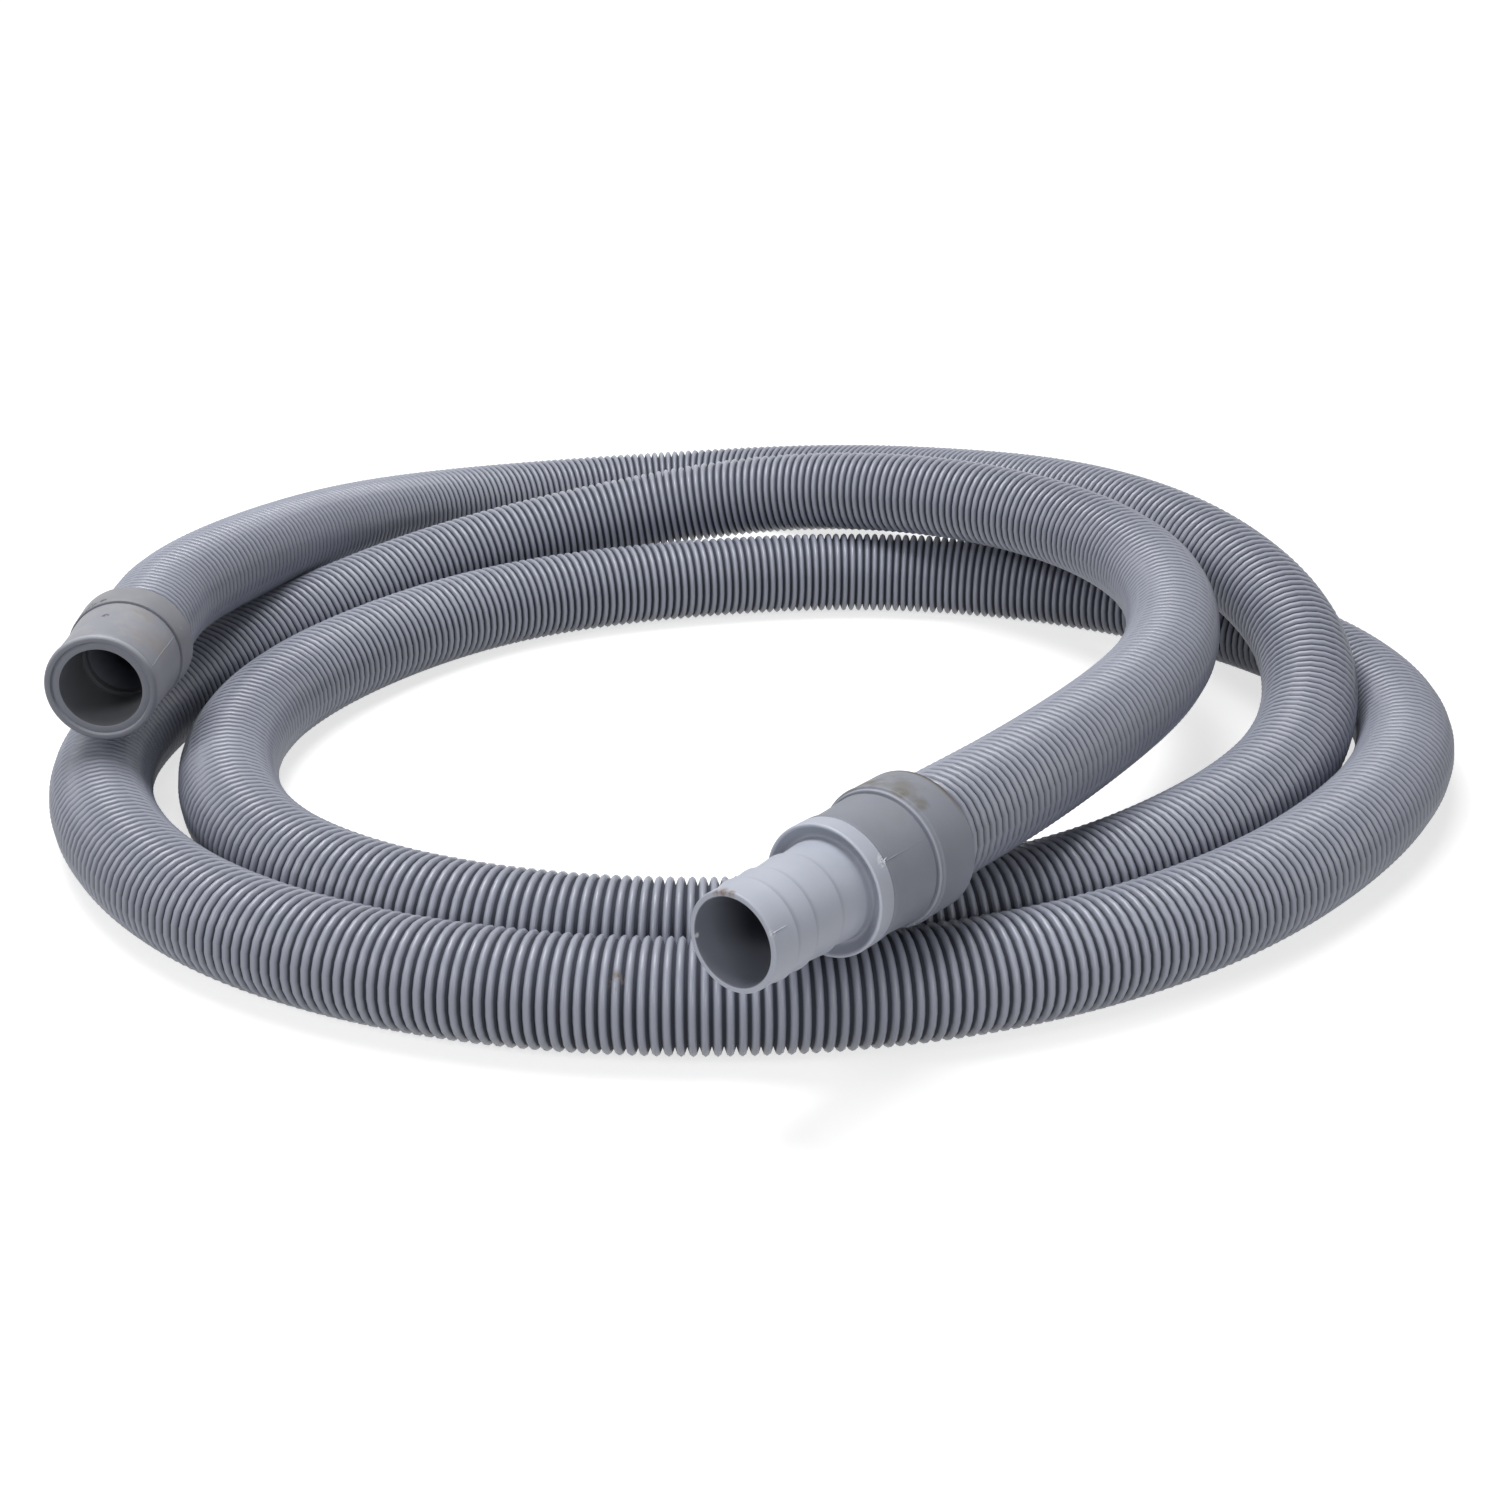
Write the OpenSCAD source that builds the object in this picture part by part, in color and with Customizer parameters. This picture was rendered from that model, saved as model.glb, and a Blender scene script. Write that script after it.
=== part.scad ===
// Caravan waste-water hose kit: one ribbed hose laid in nearly three loose loops, a
// moulded cuff on each end, and a barbed adapter pushed into the right-hand cuff.
// Sizes are in mm. +Z is up, the hose rests on z = 0 and -Y is the front.

/* [Hose] */
// Outside diameter over the ribs
hose_d = 30; // [29:0.25:30.25]
// Depth of the grooves between the ribs
groove_depth = 2.2; // [1:0.1:2.6]
// Diameter of the bore
hose_bore = 23; // [18:0.5:23.5]
// Ribs along the whole hose
rib_count = 200; // [60:20:200]

/* [Cuffs] */
// Diameter of the left collar's rear edge, where the hose goes in
left_collar_d = 36; // [35.4:0.2:37]
// Diameter of the right collar, where the hose goes in
right_collar_d = 37.6; // [37.2:0.2:38.6]
// Depth of the collars' sockets round the hose
socket_depth = 13; // [10:0.5:13]
// Diameter of the left cuff's open mouth
left_mouth_d = 33; // [32:0.2:33.6]
// Diameter of the right cuff's mouth and of the adapter's flange
right_mouth_d = 34.4; // [33.6:0.2:35]
// Diameter of the cuffs' bore, which grips a push-in pipe
cuff_bore = 24; // [23.6:0.2:24.4]
// Length of the left cuff
left_length = 41.5; // [38:0.5:48]
// Length of the right cuff
right_length = 33.4; // [32:0.2:40]

/* [Adapter] */
// Length of the part pushed into the cuff
spigot_length = 16; // [10:1:17]
// Thickness of the flange that stops at the cuff
flange_length = 5.4; // [4:0.2:7]
// Depth of the dish in the flange's face
dish_depth = 2.2; // [1:0.2:3]
// Length of the barbed tail in front of the flange
tail_length = 35; // [30:1:45]
// Diameter of the tail's barbs, which hold a hose that is pushed over them
barb_d = 26.2; // [25.8:0.2:26.6]
// Diameter that each stretch of the tail narrows to before the next barb
waist_d = 24.6; // [24.2:0.2:25]
// Diameter of the tail's plain end
tip_d = 25.2; // [25:0.2:25.6]
// Diameter of the bore through the adapter
adapter_bore = 22; // [19:0.2:22.4]

/* [Hidden] */
$fn = 96;

// Cross-section of the hose: flat-bottomed rings, so that it rests on a row of flats
ring_sides = 8;
half_side = 180 / ring_sides;
crest_r = hose_d / 2 * 1.033;
crest_flat = crest_r * cos(half_side);
root_r = crest_r - groove_depth;
bore_r = hose_bore / 2;
ribs_per_bore_ring = 2;

// Route of the hose from the right cuff to the left one. Each point is [x, y, lift],
// where lift is the height above a turn that lies on the floor.
ROUTE = [
    [11, -206, 35], [56, -155, 31.5], [96, -98, 28.5], [132, -41, 27.5], [141, 28, 31],
    [113, 81, 34], [60, 120, 33.5], [-2, 147, 25], [-69, 143, 13], [-129, 108, 6],
    [-173, 52, 0], [-208, -12, 0], [-209, -82, 0], [-171, -145, 0], [-120, -180, 0],
    [-63, -198, 0], [2, -201, 0], [63, -189, 0], [122, -158, 0], [172, -110, 0],
    [212, -47, 0], [208, 21, 0], [166, 77, 0], [104, 111, 0], [37, 123, 0],
    [-28, 113, 0], [-92, 92, 0], [-138, 48, 0], [-170, -8, 0], [-171, -69, 0],
    [-146, -124, 0], [-92, -159, 0], [-18, -172, 0], [69, -156, 0], [129, -109, 0],
    [173, -56, 2], [185, 0, 21], [160, 63, 33], [121, 119, 31], [77, 171, 20],
    [31, 216, 9], [-31, 237, 0], [-94, 221, 0], [-143, 177, 8], [-171, 116, 20],
    [-190, 35, 33], [-203, -17, 35], [-187, -65, 36]
];
// Moves the middle of the whole kit onto the origin
centre_shift = [-0.8, -1, 0];
spans = len(ROUTE) - 3;

// Smooth curve drawn by the route's points: a uniform cubic spline
function knot(i) = ROUTE[i] + centre_shift + [0, 0, crest_flat];
function blend(a, b, c, d, t) =
    (pow(1 - t, 3) * a + (3 * t * t * t - 6 * t * t + 4) * b
    + (-3 * t * t * t + 3 * t * t + 3 * t + 1) * c + t * t * t * d) / 6;
function slope(a, b, c, d, t) =
    (-pow(1 - t, 2) * a + (3 * t * t - 4 * t) * b
    + (-3 * t * t + 2 * t + 1) * c + t * t * d) / 2;
function span_of(u) = max(0, min(spans - 1, floor(u)));
function on_spline(u) =
    let (i = span_of(u))
    blend(knot(i), knot(i + 1), knot(i + 2), knot(i + 3), u - i);
function along(u) =
    let (i = span_of(u), d = slope(knot(i), knot(i + 1), knot(i + 2), knot(i + 3), u - i))
    d / norm(d);

// The two ends run on straight, one diameter of open hose and then into the socket
right_start = on_spline(0);
right_out = -along(0);
left_start = on_spline(spans);
left_out = along(spans);
right_rear = right_start + hose_d * right_out;
left_rear = left_start + hose_d * left_out;
span_length = norm(slope(knot(0), knot(1), knot(2), knot(3), 0));
end_run = (hose_d + socket_depth) / span_length;

function centre(u) =
    u < 0 ? right_start - u * span_length * right_out
    : u > spans ? left_start + (u - spans) * span_length * left_out
    : on_spline(u);
function heading(u) = along(max(0, min(spans, u)));
function station(k) = -end_run + (spans + 2 * end_run) * k / rib_count;

// One ring of the hose square to its route, with a flat side underneath
function ring(u, r) =
    let (
        c = centre(u),
        t = heading(u),
        across = cross(t, [0, 0, 1]) / norm(cross(t, [0, 0, 1])),
        up = cross(across, t)
    )
    [
        for (j = [0:ring_sides - 1])
        let (a = half_side + j * 360 / ring_sides, p = c + r * (cos(a) * across + sin(a) * up))
        [p[0], p[1], max(0, p[2])]
    ];

// Least clearance between turns that lie beside or across each other
gap_step = 0.08;
gap_skip = 25;
gap_points = [for (u = [0:gap_step:spans]) on_spline(u)];
least_apart = min([
    for (i = [0:len(gap_points) - gap_skip - 1])
    min([for (j = [i + gap_skip:len(gap_points) - 1]) norm(gap_points[i] - gap_points[j])])
]);
echo(least_gap_mm = least_apart - 2 * crest_r);

// Two triangles for each side between neighbouring rings, turned over for the bore
function band(a, b, inside) = [
    for (j = [0:ring_sides - 1])
    let (n = (j + 1) % ring_sides)
    each inside
        ? [[a + j, b + j, b + n], [a + j, b + n, a + n]]
        : [[a + j, b + n, b + j], [a + j, a + n, b + n]]
];

module hose() {
    outer_rings = 2 * rib_count + 1;
    bore_rings = rib_count / ribs_per_bore_ring + 1;
    outer = [
        for (k = [0:outer_rings - 1])
        each ring(station(k / 2), k % 2 == 0 ? root_r : crest_r)
    ];
    bore = [for (k = [0:bore_rings - 1]) each ring(station(k * ribs_per_bore_ring), bore_r)];
    first_bore = outer_rings * ring_sides;
    last_outer = first_bore - ring_sides;
    last_bore = first_bore + (bore_rings - 1) * ring_sides;
    faces = [
        for (k = [0:outer_rings - 2]) each band(k * ring_sides, (k + 1) * ring_sides, false),
        for (k = [0:bore_rings - 2])
        each band(first_bore + k * ring_sides, first_bore + (k + 1) * ring_sides, true),
        each band(0, first_bore, true),
        each band(last_outer, last_bore, false)
    ];
    color("slategray") polyhedron(concat(outer, bore), faces, convexity = 10);
}

// Stands a revolved fitting on the route's end: z = 0 is the collar's rear edge
module fitted(origin, out) {
    translate(origin)
        rotate([0, acos(out[2]), atan2(out[1], out[0])])
            children();
}

// An arc in a revolved profile, its angles in degrees from the outward radius
function arc(r, z, radius, from, to, steps = 4) = [
    for (k = [0:steps])
    let (a = from + (to - from) * k / steps)
    [r + radius * cos(a), z + radius * sin(a)]
];

// The left cuff is open: a thin groove parts its collar from the barrel, and its rolled
// lip goes round a second, lower rim
module cuff_left() {
    collar_length = 12;
    collar_r = left_collar_d / 2;
    collar_taper = 0.5;
    barrel_r = collar_r - 1.1;
    waist_r = left_mouth_d / 2 - 0.2;
    waist_at = 27;
    groove = 0.6;
    lip = 1.9;
    lip_r = left_mouth_d / 2 - lip;
    rim_r = lip_r - 0.8;
    rim_drop = 0.3;
    ledge_r = 11;
    ledge_length = 3;
    ledge_front = socket_depth + ledge_length;
    corner = 0.4;
    color("dimgray")
        fitted(left_rear, left_out)
            rotate_extrude()
                polygon(concat(
                    [[hose_d / 2, 0]],
                    arc(collar_r - 0.6, 0.6, 0.6, -90, 0),
                    [
                        [collar_r - collar_taper, collar_length],
                        [barrel_r - groove, collar_length],
                        [barrel_r - groove, collar_length + groove],
                        [barrel_r, collar_length + groove],
                        [waist_r, waist_at],
                        [waist_r, left_length - 2 * lip]
                    ],
                    arc(lip_r, left_length - lip, lip, 0, 90, 6),
                    [
                        [lip_r - 0.4, left_length],
                        [lip_r - 0.4, left_length - 2 * rim_drop],
                        [rim_r, left_length - 2 * rim_drop],
                        [rim_r, left_length - rim_drop],
                        [cuff_bore / 2 + rim_drop, left_length - rim_drop],
                        [cuff_bore / 2, left_length - 2 * rim_drop],
                        [cuff_bore / 2, ledge_front + corner],
                        [cuff_bore / 2 - corner, ledge_front],
                        [ledge_r, ledge_front],
                        [ledge_r, socket_depth],
                        [hose_d / 2, socket_depth]
                    ]
                ));
}

// The right cuff is shorter: two small beads step down from its collar to the barrel,
// which is drawn in before it widens to meet the adapter's flange
module cuff_right() {
    collar_length = 13;
    collar_r = right_collar_d / 2;
    bead = 0.6;
    barrel_r = collar_r - 1.4;
    waist_r = right_mouth_d / 2 - 0.4;
    waist_at = 27.5;
    flare_at = 31.5;
    color("dimgray")
        fitted(right_rear, right_out)
            rotate_extrude()
                polygon(concat(
                    [[hose_d / 2, 0]],
                    arc(collar_r - 0.8, 0.8, 0.8, -90, 0),
                    [[collar_r - 0.1, collar_length]],
                    arc(collar_r - bead, collar_length + 0.3, bead, 0, 90),
                    arc(collar_r - 2 * bead, collar_length + 1.5, bead, -45, 90),
                    [
                        [barrel_r - 0.4, collar_length + 2.1],
                        [barrel_r - 0.4, collar_length + 2.5],
                        [barrel_r, collar_length + 2.7],
                        [waist_r, waist_at],
                        [right_mouth_d / 2, flare_at],
                        [right_mouth_d / 2, right_length],
                        [cuff_bore / 2, right_length],
                        [cuff_bore / 2, socket_depth],
                        [hose_d / 2, socket_depth]
                    ]
                ));
}

// The adapter: a spigot in the cuff, a flange with a dished face, and a hose tail whose
// barbs are sharp towards the flange and slope down towards the open end
module adapter() {
    seat_gap = 0.1;
    running_gap = 0.05;
    back = right_length + seat_gap;
    front = back + flange_length;
    tip = front + tail_length;
    spigot_r = cuff_bore / 2 - running_gap;
    flange_r = right_mouth_d / 2;
    edge = 0.7;
    root_r = barb_d / 2;
    barbs = [0.28, 0.57, 0.77];
    end_taper = 2.5;
    color("lightsteelblue")
        fitted(right_rear, right_out)
            rotate_extrude()
                polygon(concat(
                    [
                        [adapter_bore / 2, back - spigot_length],
                        [spigot_r - 0.4, back - spigot_length],
                        [spigot_r, back - spigot_length + 0.8],
                        [spigot_r, back],
                        [flange_r - 0.2, back],
                        [flange_r, back + 0.2]
                    ],
                    arc(flange_r - edge, front - edge, edge, 0, 90),
                    [
                        [flange_r - edge - 0.3, front - 0.2],
                        [root_r + 1.6, front - dish_depth * 0.8],
                        [root_r + 0.6, front - dish_depth],
                        [root_r, front - dish_depth + 0.5]
                    ],
                    [
                        for (barb = barbs)
                        each [
                            [waist_d / 2, front + barb * tail_length],
                            [barb_d / 2, front + barb * tail_length]
                        ]
                    ],
                    [
                        [tip_d / 2, front + barbs[2] * tail_length + end_taper],
                        [tip_d / 2, tip - 0.4],
                        [tip_d / 2 - 0.4, tip],
                        [adapter_bore / 2 + 0.3, tip],
                        [adapter_bore / 2, tip - 0.3]
                    ]
                ));
}

hose();
cuff_left();
cuff_right();
adapter();
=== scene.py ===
import math

import bmesh
import bpy
import numpy as np
from mathutils import Matrix, Vector


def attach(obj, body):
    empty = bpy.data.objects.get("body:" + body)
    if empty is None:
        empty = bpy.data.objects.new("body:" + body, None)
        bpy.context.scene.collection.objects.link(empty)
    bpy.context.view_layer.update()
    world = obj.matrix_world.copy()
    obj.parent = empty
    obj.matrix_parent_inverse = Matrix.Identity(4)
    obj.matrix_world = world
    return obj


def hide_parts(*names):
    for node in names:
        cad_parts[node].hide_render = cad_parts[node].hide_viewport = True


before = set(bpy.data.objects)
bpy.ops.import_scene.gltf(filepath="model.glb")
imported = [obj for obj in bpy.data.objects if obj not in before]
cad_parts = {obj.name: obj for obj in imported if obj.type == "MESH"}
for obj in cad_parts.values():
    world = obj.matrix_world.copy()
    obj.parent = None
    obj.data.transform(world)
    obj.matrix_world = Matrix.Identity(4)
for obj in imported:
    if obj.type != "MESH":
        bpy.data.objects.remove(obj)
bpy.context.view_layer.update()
# Sizes of pieces are in millimetres up to the point where a mesh or a shader takes them
MM = 0.001

# --- Camera -----------------------------------------------------------------------
# Stands in front of the coil, a little above it, and looks down over both fittings.
# Its place is in metres, and its tilt below the level in degrees.
CAMERA_PLACE = (-0.0057, -0.6387, 0.2826)
CAMERA_TILT = 24.533
camera_lens = bpy.data.cameras.new("camera")
camera_lens.sensor_width = 36
camera_lens.lens = 48.67
camera = bpy.data.objects.new("camera", camera_lens)
camera.location = CAMERA_PLACE
camera.rotation_euler = (math.radians(90 - CAMERA_TILT), 0, 0)
bpy.context.scene.collection.objects.link(camera)
bpy.context.scene.camera = camera

# --- Hose -------------------------------------------------------------------------
# A thin-walled polypropylene hose, extruded and then corrugated in a chain of moulds,
# so its rings are separate ribs and not a screw. It lies in nearly three loose loops.
HOSE_DIAMETER = 30.0
# The crests of the ribs stand a little proud of the size that the hose is known by
HOSE_R = 15.2
SHOULDER_R = 14.65
GROOVE_R = 12.6
BORE_R = 11.4
RIB_PITCH = 3.0
HOSE_SIDES = 23
BORE_RINGS = 110
# Both ends run straight for one diameter, and then on into the cuff's socket
STRAIGHT_END = HOSE_DIAMETER
SOCKET_DEPTH = 13.0
# Middle of the coil, at the height of a turn that lies on the floor on flattened ribs
COIL_CENTRE = (-0.8, -1.0, 14.316)
# Each point is x, y and the lift above a turn that lies on the floor. At the left the
# second turn leans on the one beside it.
ROUTE = [
    (11, -206, 35), (56, -155, 31.5), (96, -98, 28.5), (132, -41, 27.5), (141, 28, 31),
    (113, 81, 34), (60, 120, 33.5), (-2, 147, 25), (-69, 143, 13), (-130, 108, 7),
    (-173, 53, 3), (-208, -12, 0), (-209, -82, 0), (-171, -145, 0), (-120, -180, 0),
    (-63, -198, 0), (2, -201, 0), (63, -189, 0), (122, -158, 0), (172, -110, 0),
    (212, -47, 0), (208, 21, 0), (166, 77, 0), (104, 111, 0), (37, 123, 0),
    (-28, 113, 0), (-92, 92, 0), (-138, 48, 0), (-170, -8, 0), (-171, -69, 0),
    (-146, -124, 0), (-92, -159, 0), (-18, -172, 0), (69, -156, 0), (129, -109, 0),
    (173, -56, 2), (185, 0, 21), (160, 63, 33), (121, 119, 31), (77, 171, 20),
    (31, 216, 9), (-31, 237, 0), (-94, 221, 0), (-143, 177, 8), (-171, 116, 20),
    (-190, 35, 33), (-203, -17, 35), (-187, -65, 36),
]
STEPS_A_SPAN = 60


def unit(vectors):
    """The vectors, each made one long."""
    return vectors / np.linalg.norm(vectors, axis=-1, keepdims=True)


def smooth_route(knots, steps):
    """Points of the uniform cubic spline that the knots draw."""
    t = np.linspace(0, 1, steps, endpoint=False)[:, None]
    weights = (
        (1 - t) ** 3,
        3 * t**3 - 6 * t**2 + 4,
        -3 * t**3 + 3 * t**2 + 3 * t + 1,
        t**3,
    )
    spans = [
        sum(w * knots[i + k] for k, w in enumerate(weights)) / 6
        for i in range(len(knots) - 3)
    ]
    return np.vstack(spans + [(knots[-3] + 4 * knots[-2] + knots[-1]) / 6])


knots = np.array(ROUTE) + COIL_CENTRE
route = smooth_route(knots, STEPS_A_SPAN)
right_out = unit(knots[0] - knots[2])
left_out = unit(knots[-1] - knots[-3])
right_rear = route[0] + STRAIGHT_END * right_out
left_rear = route[-1] + STRAIGHT_END * left_out
end_run = np.arange(STRAIGHT_END + SOCKET_DEPTH, 0, -1.0)[:, None]
hose_line = np.vstack(
    [route[0] + end_run * right_out, route, route[-1] + end_run[::-1] * left_out]
)
hose_along = np.append(0, np.cumsum(np.linalg.norm(np.diff(hose_line, axis=0), axis=1)))
hose_heading = unit(np.gradient(hose_line, hose_along, axis=0))
hose_length = hose_along[-1]
rib_count = round(hose_length / RIB_PITCH)
rib_step = hose_length / rib_count


def on_hose(along):
    """Middle of the hose at these distances along it, and two directions across it."""
    middle, heading = (
        np.stack([np.interp(along, hose_along, line[:, k]) for k in range(3)], axis=-1)
        for line in (hose_line, hose_heading)
    )
    across = unit(np.cross(heading, [0, 0, 1]))
    return middle, across, unit(np.cross(across, heading))


def spin_profile(profile, sides):
    """A closed ring of (height, radius) points spun round the Z axis into a bmesh."""
    bm = bmesh.new()
    corners = [bm.verts.new((radius, 0, height)) for height, radius in profile]
    edges = [bm.edges.new((a, b)) for a, b in zip(corners, corners[1:] + corners[:1])]
    bmesh.ops.spin(
        bm,
        geom=corners + edges,
        cent=(0, 0, 0),
        axis=(0, 0, 1),
        angle=math.tau,
        steps=sides,
        use_merge=True,
    )
    bmesh.ops.remove_doubles(bm, verts=bm.verts, dist=0.001)
    bmesh.ops.recalc_face_normals(bm, faces=bm.faces)
    return bm


def add_piece(name, bm):
    """Makes an object of a bmesh, with smooth faces, and puts it in the scene."""
    for face in bm.faces:
        face.smooth = True
    mesh = bpy.data.meshes.new(name)
    bm.to_mesh(mesh)
    bm.free()
    piece = bpy.data.objects.new(name, mesh)
    bpy.context.scene.collection.objects.link(piece)
    return piece


# One rib is a round crest beside a groove that narrows to its bottom
RIB_SHAPE = [(0.0, GROOVE_R), (0.23, SHOULDER_R), (0.5, HOSE_R), (0.77, SHOULDER_R)]
ribs = [((i + t) * rib_step, r) for i in range(rib_count) for t, r in RIB_SHAPE]
bore = [(hose_length * (1 - k / BORE_RINGS), BORE_R) for k in range(BORE_RINGS + 1)]
hose = add_piece(
    "ribbed_hose", spin_profile(ribs + [(hose_length, GROOVE_R)] + bore, HOSE_SIDES)
)


def point_values(mesh, attribute, kind, values):
    """Writes a value or a vector for each vertex of a mesh, for its material to read."""
    field = "vector" if kind == "FLOAT_VECTOR" else "value"
    layer = mesh.attributes.new(attribute, kind, "POINT")
    layer.data.foreach_set(field, np.ravel(values))


def vertices_of(mesh):
    """The places of a mesh's vertices, one row for each."""
    places = np.empty(len(mesh.vertices) * 3)
    mesh.vertices.foreach_get("co", places)
    return places.reshape(-1, 3)


# The straight tube is bent to the route, and what would sink into the floor lies flat
straight = vertices_of(hose.data)
middle, across, up = on_hose(straight[:, 2])
bent = middle + straight[:, :1] * across + straight[:, 1:2] * up
bent[:, 2] = np.maximum(bent[:, 2], 0)
hose.data.vertices.foreach_set("co", np.ravel(bent * MM))
# How deep in a groove each point is: nought on a crest and one at the bottom. The
# material paints deeper points darker, dirt and painted shade. The bore counts as a
# third of the way down, so it is painted darker too.
BORE_DEPTH = 0.34
radius = np.hypot(straight[:, 0], straight[:, 1])
depth = (HOSE_R - radius) / (HOSE_R - GROOVE_R)
depth = np.where(radius > BORE_R + 0.1, depth, BORE_DEPTH)
point_values(hose.data, "groove", "FLOAT", depth)
hose.data.update()


def linear(hex_colour):
    """An sRGB hex colour as the linear colour that a shader wants."""
    parts = [int(hex_colour[i : i + 2], 16) / 255 for i in (1, 3, 5)]
    return tuple(
        c / 12.92 if c <= 0.04045 else ((c + 0.055) / 1.055) ** 2.4 for c in parts
    ) + (1.0,)


def add_node(tree, kind, inputs=(), output=0, **settings):
    """Adds a shader node with its settings and inputs, and gives one of its outputs."""
    node = tree.nodes.new("ShaderNode" + kind)
    for name, value in settings.items():
        setattr(node, name, value)
    for socket, value in dict(inputs).items():
        if isinstance(value, bpy.types.NodeSocket):
            tree.links.new(value, node.inputs[socket])
        else:
            node.inputs[socket].default_value = value
    return node.outputs[output]


def stain(tree, tone, colour, mask, *more):
    """Lays a colour over a tone where every mask is one; a number is its strength."""
    for other in more:
        mask = add_node(tree, "Math", {0: mask, 1: other}, operation="MULTIPLY")
    sockets = {0: mask, 6: tone, 7: linear(colour)}
    return add_node(tree, "Mix", sockets, 2, data_type="RGBA")


def patches(tree, place, size, detail, start, end, least=0.0, most=1.0):
    """Uneven patches of about this size, which rise from the least value to the most."""
    sockets = {"Vector": place, "Scale": 1 / (size * MM), "Detail": detail}
    cloud = add_node(tree, "TexNoise", sockets)
    return add_node(tree, "MapRange", {0: cloud, 1: start, 2: end, 3: least, 4: most})


def near_point(tree, place, point, reach):
    """One round a mark's middle, falling to nought at its reach."""
    sockets = {0: place, 1: Vector(point) * MM}
    away = add_node(tree, "VectorMath", sockets, "Value", operation="DISTANCE")
    return add_node(tree, "MapRange", {0: away, 1: reach * MM, 2: 0.4 * reach * MM})


def new_material(name):
    """An empty node material, with the output that its shader goes to."""
    material = bpy.data.materials.new(name)
    material.use_nodes = True
    tree = material.node_tree
    tree.nodes.clear()
    return material, tree, tree.nodes.new("ShaderNodeOutputMaterial")


def add_plastic(tree, output, place, colour, roughness, ior, grain, grain_depth):
    """The shader of a moulded piece: its grain, as a height, roughens the highlights."""
    size, detail = grain
    sockets = {"Vector": place, "Scale": 1 / (size * MM), "Detail": detail}
    height = add_node(tree, "TexNoise", sockets)
    sockets = {"Height": height, "Strength": 0.5, "Distance": grain_depth * MM}
    sockets = {
        "Base Color": colour,
        "Roughness": roughness,
        "IOR": ior,
        "Normal": add_node(tree, "Bump", sockets),
    }
    surface = add_node(tree, "BsdfPrincipled", sockets)
    tree.links.new(surface, output.inputs["Surface"])


# Polypropylene, corrugated in moulds: satin and a cool grey. Its grooves, and a little
# its bore, are painted darker: dirt and painted shade. The grain that its mould leaves
# is finer than this size, with its detail, and is drawn so coarse in order to show.
POLYPROPYLENE_IOR = 1.49
POLYPROPYLENE_GRAIN = (0.667, 2.0)
hose_plastic, tree, output = new_material("corrugated_polypropylene")
place = add_node(tree, "TexCoord", output="Object")
groove = add_node(tree, "Attribute", output="Fac", attribute_name="groove")
cloud = patches(tree, place, size=38.5, detail=3.0, start=0.0, end=1.0)
tone = stain(tree, linear("#979ba9"), "#a6aab8", cloud)
# Grooves and bore painted dark: dirt and painted shade
groove_dirt_and_shade = add_node(tree, "MapRange", {0: groove, 1: 0.1, 2: 0.5})
tone = stain(tree, tone, "#363a46", groove_dirt_and_shade)
# One brown splash on the front turn, over two or three ribs
splash = near_point(tree, place, (-38.6, -209.7, 24.8), reach=3.0)
ragged = patches(tree, place, size=2.38, detail=3.0, start=0.45, end=0.6)
tone = stain(tree, tone, "#7f766e", splash, ragged)
# Grooves are dull with dirt, crests have the satin of the mould
satin = patches(
    tree, place, size=5.56, detail=3.0, start=0.3, end=0.7, least=0.28, most=0.38
)
dull = add_node(tree, "MapRange", {0: groove, 1: 0.2, 2: 0.5, 3: 0.0, 4: 0.8})
sheen = add_node(tree, "Math", {0: satin, 1: dull}, operation="MAXIMUM")
add_plastic(
    tree,
    output,
    place,
    tone,
    sheen,
    POLYPROPYLENE_IOR,
    POLYPROPYLENE_GRAIN,
    grain_depth=0.06,
)
hose.data.materials.append(hose_plastic)

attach(hose, "hose_assembly")
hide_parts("hose")

# --- Left cuff --------------------------------------------------------------------
# A grey rubber cuff, moulded, pushed over the hose and glued. Its collar covers the
# hose's end, a thin groove parts it from the barrel, and a second rim lies a step
# inside the rolled lip of its mouth.
FITTING_SIDES = 144
SOCKET_R = 15.0
CUFF_BORE_R = 12.0


def arc(height, radius, size, start, end, steps=6):
    """Points of an arc in a profile, as (height, radius), its angles in degrees."""
    turn = [math.radians(start + (end - start) * k / steps) for k in range(steps + 1)]
    return [(height + size * math.sin(a), radius + size * math.cos(a)) for a in turn]


def end_frame(rear, out):
    """Where a fitting made along Z belongs: its Y side turns up and its X side right."""
    out = Vector(out)
    side = Vector((0, 0, 1)).cross(out).normalized()
    turn = Matrix((side, out.cross(side), out)).transposed()
    return Matrix.Translation(Vector(rear)) @ turn.to_4x4()


def round_axis(angle, radius, height):
    """A point of a fitting: nought degrees is its right side and ninety its top."""
    turn = math.radians(angle)
    return Vector((radius * math.cos(turn), radius * math.sin(turn), height))


def add_parting_line(bm, angle, line, proud=0.12, width=0.3, root=0.15):
    """A closed ridge along a fitting, where the halves of its mould met."""
    rings = []
    for height, radius in line:
        swing = math.degrees(width / radius)
        foot = radius - root
        corners = (angle - swing, foot), (angle, radius + proud), (angle + swing, foot)
        rings.append([bm.verts.new(round_axis(a, r, height)) for a, r in corners])
    for first, second in zip(rings, rings[1:]):
        for k in range(3):
            n = (k + 1) % 3
            bm.faces.new((first[k], first[n], second[n], second[k]))
    bm.faces.new(rings[0][::-1])
    bm.faces.new(rings[-1])


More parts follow.
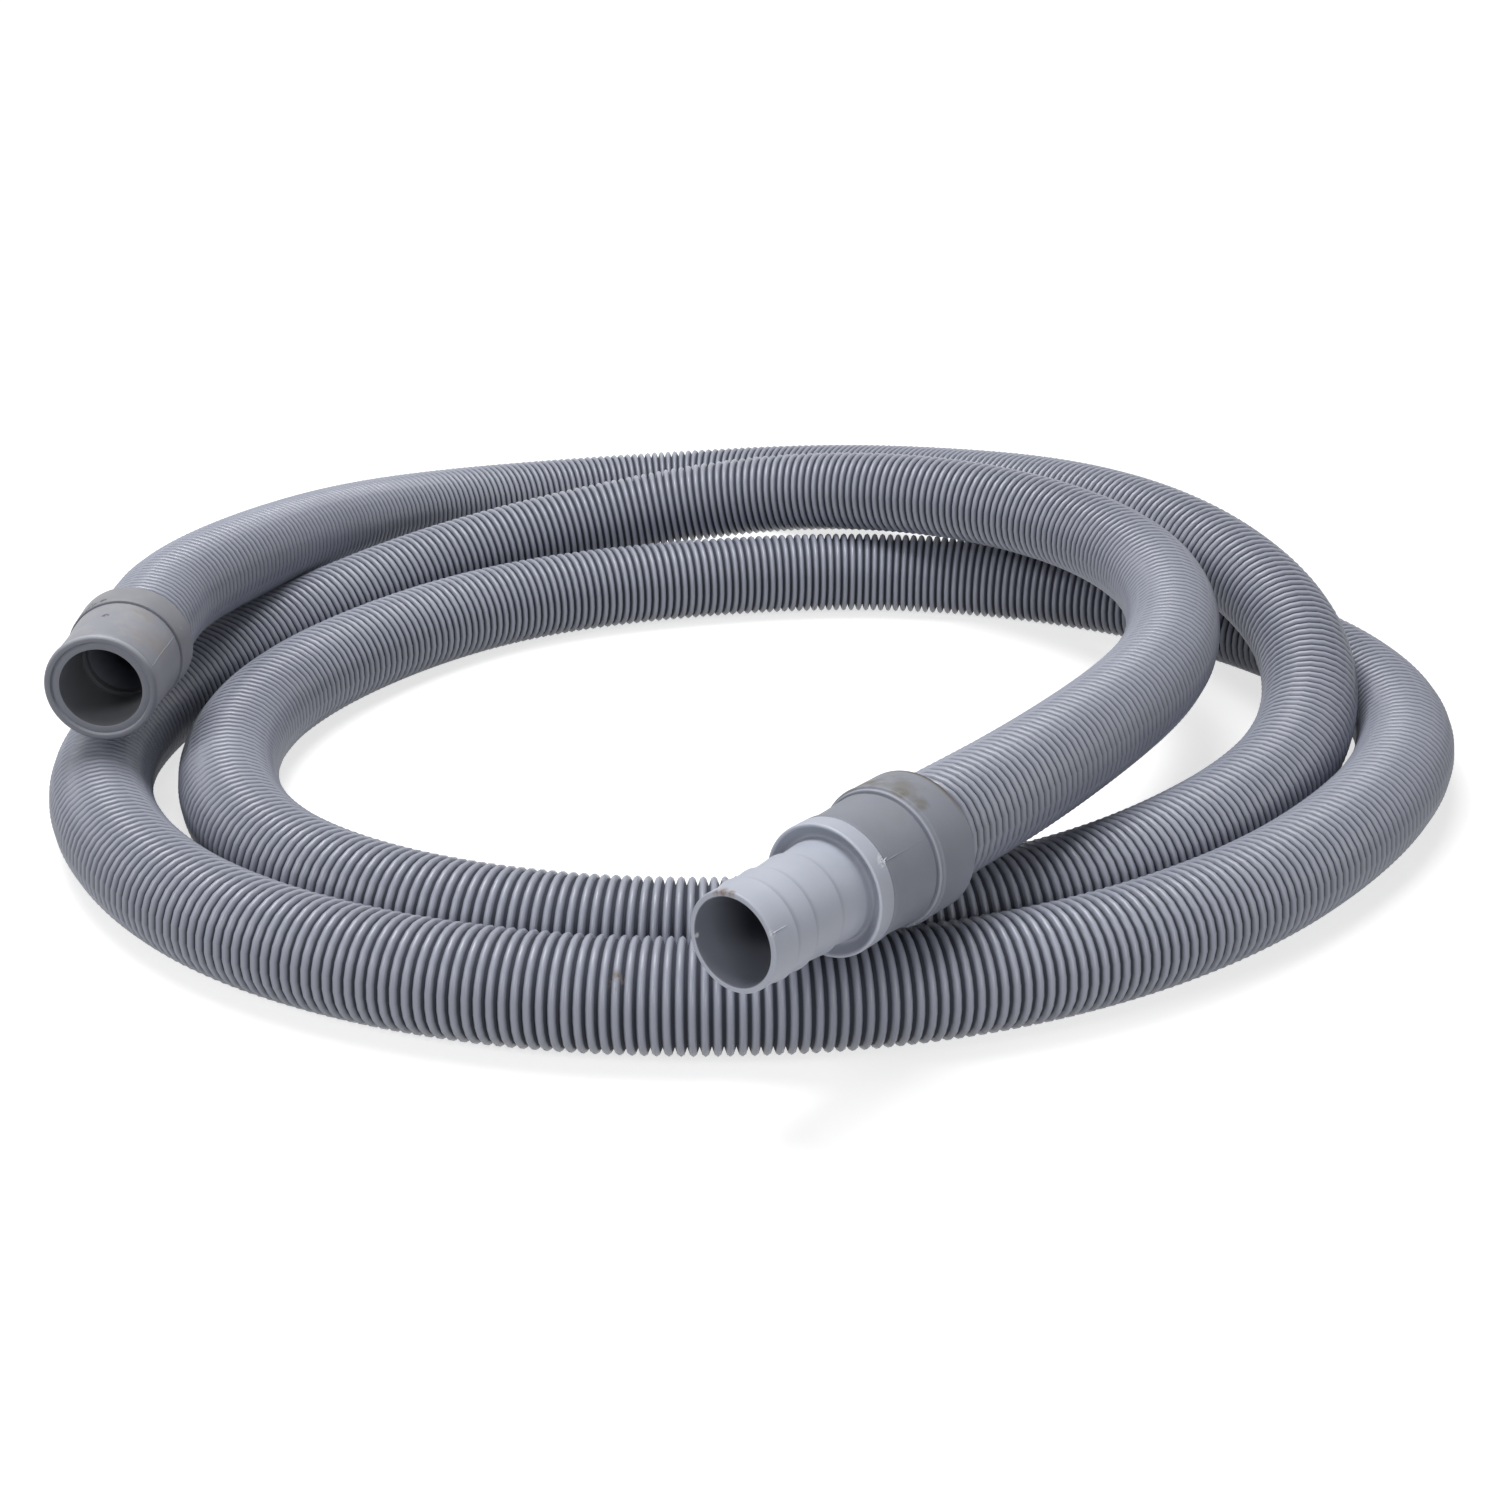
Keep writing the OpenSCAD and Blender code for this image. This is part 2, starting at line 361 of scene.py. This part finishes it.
def add_spike(bm, angle, radius, height, lean, length, width):
    """A small closed cone of flash, left by the mould, leaning along the given way."""
    foot = round_axis(angle, radius, height)
    outward = round_axis(angle, 1, 0)
    way = (outward + Vector(lean)).normalized()
    turn = way.to_track_quat("Z", "Y").to_matrix().to_4x4()
    bmesh.ops.create_cone(
        bm,
        cap_ends=True,
        cap_tris=True,
        segments=6,
        radius1=width,
        radius2=0.02,
        depth=length,
        matrix=Matrix.Translation(foot + way * length * 0.35) @ turn,
    )


def add_fitting(name, bm, place):
    """Closes a fitting's bmesh, keeps its creases and puts it on the hose's end."""
    bmesh.ops.recalc_face_normals(bm, faces=bm.faces)
    piece = add_piece(name, bm)
    piece.data.set_sharp_from_angle(angle=math.radians(40))
    point_values(piece.data, "local", "FLOAT_VECTOR", vertices_of(piece.data) * MM)
    piece.data.transform(Matrix.Scale(MM, 4) @ place)
    piece.data.update()
    return piece


left_place = end_frame(left_rear, left_out)
left_profile = [(0, SOCKET_R)] + arc(0.6, 17.4, 0.6, -90, 0)
left_profile += arc(11.75, 17.25, 0.25, 0, 90, 3)
left_profile += [(12.0, 16.45), (12.15, 16.3), (12.5, 16.3), (12.6, 16.45)]
left_profile += arc(12.85, 16.65, 0.25, -60, 0, 3)
left_profile += [(17, 16.7), (22, 16.45), (27, 16.3), (33, 16.28), (38.6, 16.3)]
left_profile += [(38.9, 16.2), (39.1, 16.05), (39.3, 16.05)]
left_profile += arc(40.3, 15.3, 1.2, -38, 90, 12)
left_profile += [(41.5, 14.65), (41.42, 14.53), (40.85, 14.3), (40.7, 14.2)]
left_profile += [(40.72, 14.0), (40.8, 13.8), (40.8, 12.35), (40.7, 12.1)]
left_profile += [(40.45, CUFF_BORE_R), (16.4, CUFF_BORE_R), (16.0, 11.6), (16.0, 11.2)]
left_profile += [(15.8, 11.0), (13.2, 11.0), (SOCKET_DEPTH, 11.2)]
left_profile += [(SOCKET_DEPTH, SOCKET_R)]
left_seam = [(12.9, 16.9), (17, 16.7), (22, 16.45), (27, 16.3), (38, 16.28)]
bm = spin_profile(left_profile, FITTING_SIDES)
add_parting_line(bm, 21, left_seam)
for angle, size in ((-38, 0.25), (-47, 0.3), (-64, 0.22)):
    add_spike(bm, angle, 15.9, 41.0, lean=(0, 0, 0.5), length=0.7, width=size)
cuff_left = add_fitting("left_cuff", bm, left_place)


def local_place(tree):
    """A fitting's own coordinates, which turn with it: Z runs out along the fitting."""
    return add_node(tree, "Attribute", output="Vector", attribute_name="local")


def facing_up(tree, nought, one):
    """A mask from nought at one upward part of a surface's normal to one at another."""
    facing = add_node(tree, "NewGeometry", output="Normal")
    upward = add_node(tree, "SeparateXYZ", {0: facing}, "Z")
    return add_node(tree, "MapRange", {0: upward, 1: nought, 2: one})


def along_axis(tree, place, nought, one):
    """A mask from nought at one height along a fitting to one at another."""
    height = add_node(tree, "SeparateXYZ", {0: place}, "Z")
    return add_node(tree, "MapRange", {0: height, 1: nought * MM, 2: one * MM})


def from_axis(tree, place, nought, one):
    """A mask from nought at one distance from a fitting's axis to one at another."""
    flat = add_node(tree, "VectorMath", {0: place, 1: (1, 1, 0)}, operation="MULTIPLY")
    away = add_node(tree, "VectorMath", {0: flat}, "Value", operation="LENGTH")
    return add_node(tree, "MapRange", {0: away, 1: nought * MM, 2: one * MM})


def spot(tree, place, tone, colour, at, reach, size, strength=1.0):
    """A ragged spot of dirt round a point that is given as (height, angle, radius)."""
    height, angle, radius = at
    near = near_point(tree, place, round_axis(angle, radius, height), reach)
    ragged = patches(tree, place, size, detail=4.0, start=0.4, end=0.62)
    return stain(tree, tone, colour, near, ragged, strength)


def rubber_material(name, dark, pale, dust, dust_cover):
    """Moulded grey rubber: dull, a little cloudy, with dust on what faces upwards."""
    material, tree, output = new_material(name)
    place = local_place(tree)
    cloud = patches(tree, place, size=13.3, detail=4.0, start=0.3, end=0.7)
    tone = stain(tree, linear(dark), pale, cloud)
    uneven = patches(tree, place, size=7.14, detail=5.0, start=0.4, end=0.7, least=0.25)
    tone = stain(tree, tone, dust, facing_up(tree, 0.2, 0.95), uneven, dust_cover)
    sheen = add_node(tree, "MapRange", {0: cloud, 3: 0.45, 4: 0.58})
    return material, tree, output, place, tone, sheen


# The grain of the rubber is drawn coarse too, so that it shows
RUBBER_IOR = 1.5
RUBBER_GRAIN = (0.556, 3.0)
left_rubber, tree, output, place, tone, sheen = rubber_material(
    "left_cuff_rubber", "#83858f", "#90929c", "#a0a0a2", 0.7
)
# Black specks on the collar, a brown bloom on the barrel and one pale scuff
for at, reach in (
    ((9.8, 108, 17.6), 1.5), ((10.2, 117, 17.6), 1.5), ((10.4, 126, 17.6), 1.7),
    ((10.0, 136, 17.6), 1.7), ((7.6, 124, 17.6), 1.4), ((22.4, 95, 16.4), 1.4),
):
    tone = spot(tree, place, tone, "#2e2e33", at, reach, size=0.714, strength=2.5)
for at, reach in (((31, 45, 16.3), 6.0), ((25, 30, 16.3), 7.0), ((17, 62, 16.7), 5.0)):
    tone = spot(tree, place, tone, "#8f867e", at, reach, size=3.85, strength=0.6)
tone = spot(tree, place, tone, "#b9bcc0", (6.4, 22, 17.6), reach=0.8, size=3.33)
# The wall of the bore is painted darker: painted shade
painted_shade_bore_wall = from_axis(tree, place, CUFF_BORE_R + 0.15, CUFF_BORE_R + 0.05)
tone = stain(tree, tone, "#75777c", painted_shade_bore_wall)
# The collar is painted a little darker than the barrel: painted shade
tone = stain(tree, tone, "#6c6b6e", along_axis(tree, place, 12.1, 11.8), 0.3)
# The groove in front of it is painted dark: dirt and painted shade
collar_groove = (
    from_axis(tree, place, 16.7, 16.6),
    along_axis(tree, place, 11.8, 12.1),
    along_axis(tree, place, 12.8, 12.5),
)
tone = stain(tree, tone, "#3c3d43", *collar_groove, 0.7)
# The front of the mouth is painted darker where it is upright, as painted shade, and
# paler where it faces up, as a painted highlight
front = from_axis(tree, place, 12.2, 12.3), along_axis(tree, place, 40.0, 40.6)
tone = stain(tree, tone, "#6b6e79", *front, facing_up(tree, 0.5, 0.15), 0.4)
tone = stain(tree, tone, "#b9bcc6", *front, facing_up(tree, 0.3, 0.8), 0.5)
# Deep in the bore, the face of the stop for the hose's end is painted darker: painted
# shade
stop = along_axis(tree, place, 15.7, 15.9), along_axis(tree, place, 16.8, 16.5)
tone = stain(tree, tone, "#5c5e63", painted_shade_bore_wall, *stop)
add_plastic(
    tree, output, place, tone, sheen, RUBBER_IOR, RUBBER_GRAIN, grain_depth=0.05
)
cuff_left.data.materials.append(left_rubber)

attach(cuff_left, "hose_assembly")
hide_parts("cuff_left")

# --- Right cuff -------------------------------------------------------------------
# The same rubber in a shorter, wider cuff. Two small beads step down from its collar to
# the barrel, which widens again to meet the adapter's flange.
right_place = end_frame(right_rear, right_out)
right_profile = [(0, SOCKET_R)] + arc(0.8, 18.0, 0.8, -90, 0)
right_profile += [(12.9, 18.7)]
right_profile += arc(13.3, 18.2, 0.6, -10, 80, 6)
right_profile += arc(14.5, 17.6, 0.6, -40, 100, 8)
right_profile += [(15.2, 17.1), (15.45, 17.0), (15.65, 17.15), (15.8, 17.4)]
right_profile += [(19.5, 17.2), (23.5, 16.95), (27.5, 16.8), (29.5, 16.9)]
right_profile += [(31.5, 17.15), (33.2, 17.2), (33.4, 17.1)]
right_profile += [(33.4, CUFF_BORE_R), (SOCKET_DEPTH, CUFF_BORE_R)]
right_profile += [(SOCKET_DEPTH, SOCKET_R)]
right_seam = [(15.9, 17.3), (19.5, 17.1), (23.5, 16.88), (27.5, 16.78)]
right_seam += [(31.5, 17.15), (33.2, 17.2)]
bm = spin_profile(right_profile, FITTING_SIDES)
for angle in (37, 217):
    add_parting_line(bm, angle, right_seam)
for angle, height, size in (
    (-38, 14.9, 0.3), (-52, 14.6, 0.35), (-57, 15.4, 0.3), (-70, 14.8, 0.3),
):
    add_spike(bm, angle, 17.9, height, lean=(0, 0, 0.4), length=0.9, width=size)
cuff_right = add_fitting("right_cuff", bm, right_place)

right_rubber, tree, output, place, tone, sheen = rubber_material(
    "right_cuff_rubber", "#7e828e", "#8a8e9a", "#7f7e7c", 0.45
)
# Brown smears over the top of the collar
for at, reach, strength in (
    ((11.8, 62, 18.8), 3.5, 0.8), ((12.6, 80, 18.8), 3.0, 0.8),
    ((11.5, 112, 18.8), 5.0, 0.9), ((8.0, 95, 18.8), 6.0, 0.5),
    ((9.0, 76, 18.8), 5.0, 0.35), ((11.0, 130, 18.8), 4.5, 0.8),
):
    tone = spot(tree, place, tone, "#635d50", at, reach, size=4.17, strength=strength)
# The front bead is painted pale along its top: a painted highlight
bead = from_axis(tree, place, 17.9, 18.0), along_axis(tree, place, 14.0, 14.4)
tone = stain(tree, tone, "#b6b9c2", *bead, 0.5)
# The collar's rear edge is brown near its top
rear_edge = along_axis(tree, place, 1.9, 0.9)
edge_top = near_point(tree, place, round_axis(78, 18.8, 0.5), reach=14)
tone = stain(tree, tone, "#4a3f33", rear_edge, edge_top)
add_plastic(
    tree, output, place, tone, sheen, RUBBER_IOR, RUBBER_GRAIN, grain_depth=0.05
)
cuff_right.data.materials.append(right_rubber)

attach(cuff_right, "hose_assembly")
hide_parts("cuff_right")

# --- Adapter ----------------------------------------------------------------------
# One injection moulding of light grey polypropylene: a spigot hidden in the cuff, a
# flange with a dished face, and a hose tail whose barbs are sharp towards the flange.
BARB_R = 13.1
WAIST_R = 12.3
TIP_R = 12.6
SPIGOT_R = 11.95
ADAPTER_BORE_R = 11.0
FLANGE_REAR = 33.5
BARB_EDGES = (48.7, 58.85, 65.85)
adapter_profile = [(17.8, ADAPTER_BORE_R), (17.5, 11.2), (17.5, 11.6)]
adapter_profile += [(18.3, SPIGOT_R), (FLANGE_REAR, SPIGOT_R), (FLANGE_REAR, 17.0)]
adapter_profile += arc(33.7, 17.0, 0.2, -45, 0, 3) + arc(38.4, 16.7, 0.5, 0, 90, 7)
adapter_profile += [
    (38.85, 16.45), (38.4, 15.9), (37.95, 15.35), (37.55, 14.75), (37.25, 14.25),
    (37.1, 13.8), (37.15, 13.45), (37.45, 13.2), (38.0, BARB_R),
]
for height in BARB_EDGES:
    adapter_profile += [(height, WAIST_R), (height + 0.02, BARB_R - 0.08)]
    adapter_profile += [(height + 0.12, BARB_R)]
adapter_profile += [(68.35, TIP_R)]
adapter_profile += arc(73.4, TIP_R - 0.45, 0.45, 0, 90, 5)
adapter_profile += [(73.85, 11.35), (73.75, 11.1), (73.5, ADAPTER_BORE_R)]
bm = spin_profile(adapter_profile, FITTING_SIDES)
# The mould left ridges along the tip, a spike at the end of each, and torn flash at the
# flange's rear edge
for angle in (28.5, 208.5):
    add_parting_line(bm, angle, [(68.6, TIP_R), (73.5, TIP_R)], proud=0.18, width=0.22)
    add_spike(bm, angle, 12.4, 73.6, lean=(0, 0, 0.8), length=0.9, width=0.3)
for height, lean in (
    (33.9, (0, 0, 2.4)), (34.2, (-1.5, 1.9, 0.6)), (33.8, (1.5, -1.9, 1.0)),
    (33.5, (-0.7, 0.9, -2.2)), (34.0, (0.4, -0.3, 0.4)),
):
    add_spike(bm, 38, 17.1, height, lean, length=1.4, width=0.2)
adapter = add_fitting("barbed_adapter", bm, right_place)

# Polypropylene, injection moulded in a smooth mould: paler than the hose, faintly
# cloudy, with a soft sheen
adapter_plastic, tree, output = new_material("moulded_light_polypropylene")
place = local_place(tree)
cloud = patches(tree, place, size=16.7, detail=4.0, start=0.3, end=0.7)
tone = stain(tree, linear("#adb2bf"), "#b7bcc9", cloud)
# Brown marks on the top of the mouth, and the plastic of the flash gone white
for at, reach, strength in (
    ((73.8, 93, 12.1), 1.3, 0.9), ((73.8, 104, 12.1), 1.6, 0.9),
    ((73.8, 116, 12.1), 1.4, 0.8), ((72.6, 108, 12.6), 2.0, 0.3),
):
    tone = spot(tree, place, tone, "#7d6457", at, reach, size=2.0, strength=strength)
tone = spot(tree, place, tone, "#e2e4e9", (73.4, 28.5, 12.7), reach=1.1, size=1.11)
tone = spot(tree, place, tone, "#eef0f4", (33.9, 38, 17.3), reach=2.4, size=0.667)
# The dish of the flange is painted darker, as painted shade, and its rim paler, as a
# painted highlight
dish = from_axis(tree, place, 16.3, 16.2), along_axis(tree, place, 39.5, 38.5)
tone = stain(tree, tone, "#7f828d", *dish, 0.45)
rim = from_axis(tree, place, 16.6, 16.7), along_axis(tree, place, 38.4, 38.7)
tone = stain(tree, tone, "#dcdfe8", *rim, 0.35)
# The corner behind each barb is painted darker: dirt and painted shade
DIRT_AND_SHADE_WIDTH = 2.0
for height in BARB_EDGES:
    corner = along_axis(tree, place, height - DIRT_AND_SHADE_WIDTH, height)
    behind = along_axis(tree, place, height + 0.03, height)
    tone = stain(tree, tone, "#6d717c", corner, behind, 0.45)
# The wall of the bore is painted darker: painted shade
painted_shade_bore_wall = from_axis(tree, place, ADAPTER_BORE_R + 0.3, ADAPTER_BORE_R + 0.2)
tone = stain(tree, tone, "#757884", painted_shade_bore_wall)
tone = spot(tree, place, tone, "#d4d6da", (73.2, -169, 11.1), reach=0.8, size=5.0)
sheen = add_node(tree, "MapRange", {0: cloud, 3: 0.36, 4: 0.46})
add_plastic(
    tree,
    output,
    place,
    tone,
    sheen,
    POLYPROPYLENE_IOR,
    POLYPROPYLENE_GRAIN,
    grain_depth=0.03,
)
adapter.data.materials.append(adapter_plastic)

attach(adapter, "adapter_body")
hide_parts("adapter")

# --- Floor and light --------------------------------------------------------------
# A white paper sweep under broad soft lamps, so that the shadow stays faint.
# Sizes and places here are in metres.
FLOOR_REACH = 6
SHADOW_REACH = 0.3
WHITE_REACH = 0.9
WHITE = (1, 1, 1, 1)
bm = bmesh.new()
bmesh.ops.create_grid(bm, x_segments=1, y_segments=1, size=FLOOR_REACH)
floor = add_piece("floor", bm)


def seen_background(tree):
    """One for rays that see the background itself, and nought for those that light."""
    seen = add_node(tree, "LightPath", output="Is Camera Ray")
    for ray in ("Is Glossy Ray", "Is Transmission Ray"):
        other = add_node(tree, "LightPath", output=ray)
        seen = add_node(tree, "Math", {0: seen, 1: other}, operation="MAXIMUM")
    return seen


# Matt white paper: near the hose it keeps its shadow, and further out it is plain white
white_floor, tree, output = new_material("white_sweep")
middle = add_node(tree, "TexCoord", output="Object")
away = add_node(tree, "VectorMath", {0: middle}, "Value", operation="LENGTH")
sockets = {0: away, 1: SHADOW_REACH, 2: WHITE_REACH, 3: 0.7, 4: 1.0}
sockets = {0: seen_background(tree), 1: add_node(tree, "MapRange", sockets)}
shown = add_node(tree, "Math", sockets, operation="MULTIPLY")
glow = add_node(tree, "Emission", {"Strength": shown})
paper = add_node(tree, "BsdfDiffuse", {"Color": (0.55, 0.55, 0.55, 1)})
both = add_node(tree, "AddShader", {0: glow, 1: paper})
tree.links.new(both, output.inputs["Surface"])
floor.data.materials.append(white_floor)

world = bpy.data.worlds.new("studio")
bpy.context.scene.world = world
world.use_nodes = True
tree = world.node_tree
tree.nodes.clear()
air = add_node(tree, "Background", {"Color": WHITE, "Strength": 0.06})
backdrop = add_node(tree, "Background", {"Color": WHITE, "Strength": 1.0})
pick = add_node(tree, "MixShader", {0: seen_background(tree), 1: air, 2: backdrop})
world_output = tree.nodes.new("ShaderNodeOutputWorld")
tree.links.new(pick, world_output.inputs["Surface"])


def soft_lamp(name, where, size, watts):
    """A square soft box that faces the middle of the coil."""
    light = bpy.data.lights.new(name, "AREA")
    light.shape = "SQUARE"
    light.size = size
    light.energy = watts
    lamp = bpy.data.objects.new(name, light)
    lamp.location = where
    lamp.visible_camera = False
    lamp.rotation_euler = (-Vector(where)).to_track_quat("-Z", "Y").to_euler()
    bpy.context.scene.collection.objects.link(lamp)


soft_lamp("overhead_box", (-0.2, 0.1, 1.3), 0.7, 11.5)
soft_lamp("left_box", (-0.35, 0.25, 1.1), 0.4, 3)
soft_lamp("front_box", (-0.8, -0.9, 0.9), 0.4, 4.5)
soft_lamp("fill_box", (0.2, -0.7, 0.25), 0.25, 0.85)

bpy.context.scene.view_settings.view_transform = "Standard"
